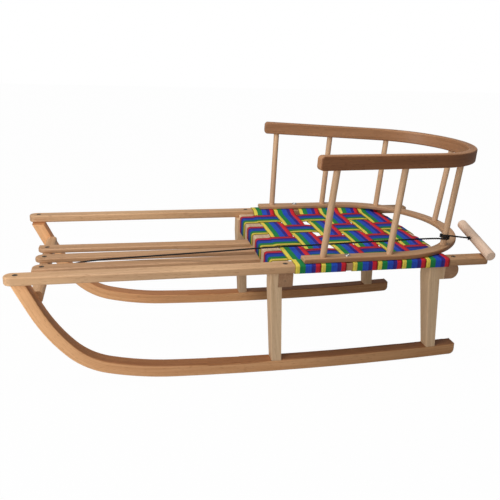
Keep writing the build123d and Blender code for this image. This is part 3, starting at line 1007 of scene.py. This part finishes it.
def lay_across(s, weave, material):
    """The straps across the sled, tacked under one rail and led over to the other."""
    half = s.thickness / 2
    inner, outer = RAIL_LOW.y, RAIL_HIGH.y
    top, under = RAIL_HIGH.z + half + RAIL_GAP, RAIL_LOW.z - half - RAIL_GAP
    wall = outer + half + RAIL_GAP
    fold = RAIL_FOLD + half
    side_run = [(outer - TURN_UNDER, under), (outer - UNDER_ROW, under)]
    side_run += arc((wall - fold, under + fold), fold, -90, 0)
    side_run += [(wall, (top + under) / 2)]
    side_run += arc((wall - fold, top - fold), fold, 0, 90)
    side_run += [((inner + wall) / 2, top), (inner + EDGE_ROW, top)]
    dip = inner - SEAT_DIP
    count = int(2 * inner / ACROSS_STEP)
    for i, middle in enumerate(weave.across):

        def seat_point(x, y):
            share = smooth((abs(y) - dip) / (inner - dip))
            seat = weave.across_z(i, x, y)
            return Vector((x, y, seat + (top - seat) * share))

        stations = [cross_line(middle, s.across_width, lambda x: Vector((x, y, z))) for y, z in side_run]
        for n in range(1, count):
            y = inner - 2 * inner * n / count
            stations.append(cross_line(middle, s.across_width, lambda x: seat_point(x, y)))
        for y, z in reversed(side_run):
            stations.append(cross_line(middle, s.across_width, lambda x: Vector((x, -y, z))))
        strap, length = lay_tape(f"strap_across_{i + 1}", stations, s.thickness, material, False)
        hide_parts("webbing_across", "webbing_across_ends")
        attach(strap, "root")


def lay_along(s, weave, material):
    """The straps along the sled, turned down over both crossbars."""
    half = s.thickness / 2
    front = FRONT_TRESTLE_HIGH.x + half + BAR_GAP
    rear = REAR_TRESTLE_LOW.x - half - BAR_GAP
    front_z = weave.middle_z - FRONT_BAR_DROP
    rear_z = REAR_TRESTLE_HIGH.z + half + BAR_GAP
    front_fold = FRONT_FOLD + half + BAR_GAP
    rear_fold = REAR_FOLD + half + BAR_GAP
    front_end, rear_end = FRONT_TRESTLE_LOW.z + END_LIFT, REAR_TRESTLE_LOW.z + END_LIFT
    start, end = front - front_fold, rear + rear_fold
    count = int((start - end) / ALONG_STEP)
    for j, middle in enumerate(weave.along):
        low = SLAT_TOP + SLAT_LIFT if j in (1, 2) else front_end
        line = [(front, low), (front, (low + front_z - front_fold) / 2)]
        line += arc((start, front_z - front_fold), front_fold, 0, 90)
        for n in range(1, count):
            x = start + (end - start) * n / count
            line.append((x, weave.along_z(j, x)))
        line += arc((end, rear_z - rear_fold), rear_fold, 90, 180, 8)
        line += [(rear, (rear_end + rear_z - rear_fold) / 2), (rear, rear_end)]
        stations = [cross_line(middle, s.along_width, lambda y: Vector((x, y, z))) for x, z in line]
        strap, length = lay_tape(f"strap_along_{j + 1}", stations, s.thickness, material, True)
        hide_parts("webbing_along", "webbing_along_ends")
        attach(strap, "root")


class SLED_OT_webbing(bpy.types.Operator):
    """Weave the striped straps of the seat and turn their ends round the rails and crossbars"""

    bl_idname = "sled.webbing"
    bl_label = "Webbing"

    def execute(self, context):
        s = context.scene.sled_webbing
        weave = Weave(s)
        lay_across(s, weave, tape_finish(s, "webbing_across_sled", 1.0))
        lay_along(s, weave, tape_finish(s, "webbing_along_sled", ALONG_PAINTED_SHADE))
        return {"FINISHED"}


# painted light and shade along the runners and rails: tints at the rear and at the front
RUNNER_PAINTED_FALLOFF = ((0.80, 0.76, 0.71, 1), (1.32, 1.32, 1.34, 1))
RAIL_PAINTED_FALLOFF = ((0.76, 0.71, 0.66, 1), (1.0, 1.0, 1.0, 1))
LEG_GRAIN = (0.12, 0, 1)
SLAT_LEAN = 0.0205  # how far the outer slats run outward towards the front
UPPER_HOOP_TAPER = math.radians(10.5)
HANDLE_AXIS = (22.1, 145, -18.3)


class SLED_OT_wood(bpy.types.Operator):
    """Give every wooden part its own grain and tone"""

    bl_idname = "sled.wood"
    bl_label = "Wood"

    def execute(self, context):
        s = context.scene.sled_wood
        crosswise = straight_grain((0, 1, 0))
        # runners: painted shade on their upper sides, and painted light and shade along their length
        dress(s, "runner_", "runner", runner_grain, roughness=0.46, darker=shaded_upper_face, ends=RUNNER_PAINTED_FALLOFF)
        dress(s, "rail_", "rail", straight_grain((1, 0, 0)), ends=RAIL_PAINTED_FALLOFF)
        dress(s, "trestle_crossbar_", "bar", crosswise, name="crossbar", roughness=0.55, darker=end_faces)
        dress(s, "front_crossbar", "rail", crosswise, name="front_bar")
        dress(s, "leg_", "leg", straight_grain(LEG_GRAIN), roughness=0.56, flecks=0.3)
        for number in (1, 2, 3):
            slat = f"slat_{number}"
            dress(s, slat, "slat", straight_grain((1, (number - 2) * SLAT_LEAN, 0)), name=slat)
        for place, key, taper in (("lower", "seat_hoop", 0.0), ("upper", "hoop", UPPER_HOOP_TAPER)):
            low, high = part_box(f"backrest_{place}_hoop")
            depth = high.x - low.x
            radius = depth - (depth - high.y * math.cos(taper)) / (1 - math.sin(taper))
            # hoops: painted shade on the outer side of their bends
            dress(
                s, f"backrest_{place}_hoop", key, hoop_grain(low.x + radius, radius, taper),
                name=f"{place}_hoop", roughness=0.42, darker=shaded_outer_face(low.x + radius),
            )
        for number in range(1, 8):
            spindle = f"spindle_{number}"
            dress(s, spindle, "spindle", straight_grain(spindle_line(spindle)[1]), name=spindle, flecks=0.4)
        dress(s, "pull_handle", "handle", straight_grain(HANDLE_AXIS), roughness=0.6, flecks=0.3, lacquer=0.0)
        return {"FINISHED"}


def metal(name, tone, roughness, scale):
    """Plated steel with fine scratches and dull patches."""
    material, tree, bsdf = new_material(name, roughness)
    place = coordinates(tree, "Object")
    scratches = noise(scaled(place, (scale, scale * 0.15, scale)), 3.0, 0.6)
    patches = step(noise(scaled(place, (500, 500, 500)), 2.0), 0.4, 0.7)
    feed_all(bsdf, {
        "Base Color": blend_colours(patches, tone, tinted(tone, (0.72, 0.68, 0.62))),
        "Roughness": plus(times(scratches, 0.25), roughness - 0.1),
        "Metallic": 1.0,
    })
    bump(bsdf, scratches, 0.00004)
    return material


def hole_shade_finish(name):
    """Painted shade: a dark, mottled tone for the drilled holes and the countersinks."""
    material, tree, bsdf = new_material(name, 0.9)
    rough = noise(scaled(coordinates(tree, "Object"), (1800, 1800, 1800)), 3.0)
    dark, pale = (0.02, 0.012, 0.008, 1), (0.075, 0.045, 0.025, 1)
    feed(bsdf.inputs["Base Color"], blend_colours(rough, dark, pale))
    bump(bsdf, rough, 0.0002)
    return material


SCREW_DEPTH = 1.6 * MM
SCREW_SINK = 0.75 * MM
SCREW_INSETS = ((0.35 * MM, 0.25 * MM),)
SCREW_TAPER = 0.72  # of the head's lower end
DISC_DEPTH = 0.5 * MM  # of a countersink or a pilot hole
RECESS = (0.62, 0.9 * MM, 1.3 * MM)  # length in head diameters, then width and depth
SCREW_PROUD = 0.15 * MM
RAIL_SCREW_BACK = 19 * MM  # from a rail's front end
SLAT_SCREW_SPACING = 54 * MM
COUNTERSINK_RIM = 0.8 * MM
COUNTERSINK_SINK = 0.3 * MM


def screw_head(name, place, diameter, material):
    """A countersunk head with a cross recess, sunk flush and a little proud."""
    piece = add_cylinder(name, 40, diameter / 2, SCREW_DEPTH)
    inset_faces(piece, (0, 0, 1), SCREW_INSETS)
    bpy.ops.object.mode_set(mode="EDIT")
    bpy.ops.mesh.select_all(action="DESELECT")
    select_faces(piece, (0, 0, -1))
    bpy.ops.transform.resize(value=(SCREW_TAPER, SCREW_TAPER, 1))
    bpy.ops.object.mode_set(mode="OBJECT")
    reach, width, depth = RECESS
    for blade_size in ((diameter * reach, width, depth), (width, diameter * reach, depth)):
        select_none()
        bpy.ops.mesh.primitive_cube_add(size=1, location=(0, 0, SCREW_SINK))
        blade = newest("recess")
        blade.scale = blade_size
        keep_place(blade)
        cut = piece.modifiers.new("Recess", "BOOLEAN")
        cut.operation = "DIFFERENCE"
        cut.object = blade
        apply_modifiers(piece)
        bpy.data.objects.remove(blade)
    soften_edges(piece, 0.08 * MM)
    bpy.ops.object.shade_smooth_by_angle(angle=math.radians(40))
    piece.data.transform(Matrix.Translation(Vector(place) - Vector((0, 0, SCREW_SINK))))
    piece.data.materials.append(material)
    return piece


class SLED_OT_screws(bpy.types.Operator):
    """Drive the screws of the rails and slats"""

    bl_idname = "sled.screws"
    bl_label = "Screws"

    def execute(self, context):
        s = context.scene.sled_hardware
        rail_top, slat_top = RAIL_HIGH.z + SCREW_PROUD, SLAT_TOP + SCREW_PROUD
        trestles = [middle_of(f"trestle_crossbar_{place}").x for place in ("front", "rear")]
        bar_x = middle_of("front_crossbar").x
        places = [
            Vector((x, side * RAIL_Y, rail_top))
            for side in SIDES for x in (RAIL_HIGH.x - RAIL_SCREW_BACK, *trestles)
        ]
        places += [Vector((bar_x, k * SLAT_SCREW_SPACING, slat_top)) for k in (-1, 0, 1)]
        steel = metal("steel_screw", tuple(s.screw_colour), roughness=0.38, scale=2600)
        screws = copies(screw_head("screw_1", places[0], s.screw_head, steel), "screw", places)
        # a dark ring round each head: painted shade in the countersink
        rim_radius = s.screw_head / 2 + COUNTERSINK_RIM
        rim = add_cylinder("countersink_1", 40, rim_radius, DISC_DEPTH)
        soften_edges(rim, 0.15 * MM, segments=1)
        rim.data.transform(Matrix.Translation(places[0] - Vector((0, 0, COUNTERSINK_SINK))))
        rim.data.materials.append(hole_shade_finish("countersink_shade"))
        for piece in screws + copies(rim, "countersink", places):
            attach(piece, "root")
        return {"FINISHED"}


BOLT_X = -0.141
BOLT_FLANGE = 1.0 * MM  # thickness of the head's rim
# the head's dome and socket: widths in head radii, rises in millimetres
BOLT_INSETS = ((0.10, 0.55), (0.18, 0.5), (0.22, 0.3), (0.16, 0), (0.02, -1.2))


class SLED_OT_bolts(bpy.types.Operator):
    """Set the bright bolts that hold the backrest to the rails"""

    bl_idname = "sled.bolts"
    bl_label = "Backrest bolts"

    def execute(self, context):
        s = context.scene.sled_hardware
        radius = s.bolt_head / 2
        bolt = add_cylinder("bolt_left", 48, radius, BOLT_FLANGE, location=(0, 0, BOLT_FLANGE / 2))
        inset_faces(bolt, (0, 0, 1), [(width * radius, rise * MM) for width, rise in BOLT_INSETS])
        soften_edges(bolt, 0.12 * MM)
        bpy.ops.object.shade_smooth_by_angle(angle=math.radians(45))
        bolt.data.transform(Matrix.Translation((BOLT_X, RAIL_Y, HOOP_TOP)))
        bolt.data.materials.append(metal("steel_bolt", tuple(s.bolt_colour), roughness=0.24, scale=1500))
        for piece in (bolt, copy_to(bolt, "bolt_right", Vector((0, -2 * RAIL_Y, 0)))):
            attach(piece, "root")
        return {"FINISHED"}


PILOT_Z = 186 * MM
PILOT_BACK = 2 * MM  # behind the front crossbar's middle
PILOT_SINK = 0.12 * MM
PILOT_INSETS = ((0.3 * MM, -0.05 * MM), (0.5 * MM, -0.25 * MM))


class SLED_OT_pilot_holes(bpy.types.Operator):
    """Show the pilot holes in the front crossbar's ends"""

    bl_idname = "sled.pilot_holes"
    bl_label = "Pilot holes"

    def execute(self, context):
        s = context.scene.sled_hardware
        # each pilot hole is a dark disc of painted shade on the crossbar's end
        material = hole_shade_finish("pilot_hole_shade")
        x = middle_of("trestle_crossbar_front").x - PILOT_BACK
        for side, word in zip(SIDES, ("left", "right")):
            hole = add_cylinder(
                f"pilot_hole_{word}", 28, s.pilot_hole / 2, DISC_DEPTH, rotation=(math.pi / 2, 0, 0),
                location=(x, side * (FRONT_TRESTLE_HIGH.y - PILOT_SINK), PILOT_Z),
            )
            keep_place(hole)
            inset_faces(hole, (0, side, 0), PILOT_INSETS)
            bpy.ops.object.shade_smooth_by_angle(angle=math.radians(40))
            hole.data.materials.append(material)
            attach(hole, "root")
        return {"FINISHED"}


class SLED_PT_panel(bpy.types.Panel):
    """The sled's steps and settings"""

    bl_idname = "SLED_PT_panel"
    bl_label = "Wooden Pull Sled"
    bl_space_type = "VIEW_3D"
    bl_region_type = "UI"
    bl_category = "Sled"

    def draw(self, context):
        layout = self.layout
        for operator, group in STEPS:
            layout.operator(operator.bl_idname)
            if group:
                settings = getattr(context.scene, group)
                column = layout.column(align=True)
                for name in settings.__annotations__:
                    column.prop(settings, name)


STEPS = (
    (SLED_OT_stage, "sled_stage"),
    (SLED_OT_cord, "sled_cord"),
    (SLED_OT_webbing, "sled_webbing"),
    (SLED_OT_wood, "sled_wood"),
    (SLED_OT_screws, "sled_hardware"),
    (SLED_OT_bolts, None),
    (SLED_OT_pilot_holes, None),
)

GROUPS = {
    "sled_stage": SledStage,
    "sled_cord": SledCord,
    "sled_webbing": SledWebbing,
    "sled_wood": SledWood,
    "sled_hardware": SledHardware,
}


def register():
    for name, group in GROUPS.items():
        bpy.utils.register_class(group)
        setattr(bpy.types.Scene, name, PointerProperty(type=group))
    for operator, _ in STEPS:
        bpy.utils.register_class(operator)
    bpy.utils.register_class(SLED_PT_panel)


def unregister():
    bpy.utils.unregister_class(SLED_PT_panel)
    for operator, _ in reversed(STEPS):
        bpy.utils.unregister_class(operator)
    for name, group in reversed(GROUPS.items()):
        delattr(bpy.types.Scene, name)
        bpy.utils.unregister_class(group)


def main():
    register()
    bpy.ops.sled.stage()
    bpy.ops.sled.cord()
    bpy.ops.sled.webbing()
    bpy.ops.sled.wood()
    bpy.ops.sled.screws()
    bpy.ops.sled.bolts()
    bpy.ops.sled.pilot_holes()


if __name__ == "__main__":
    main()
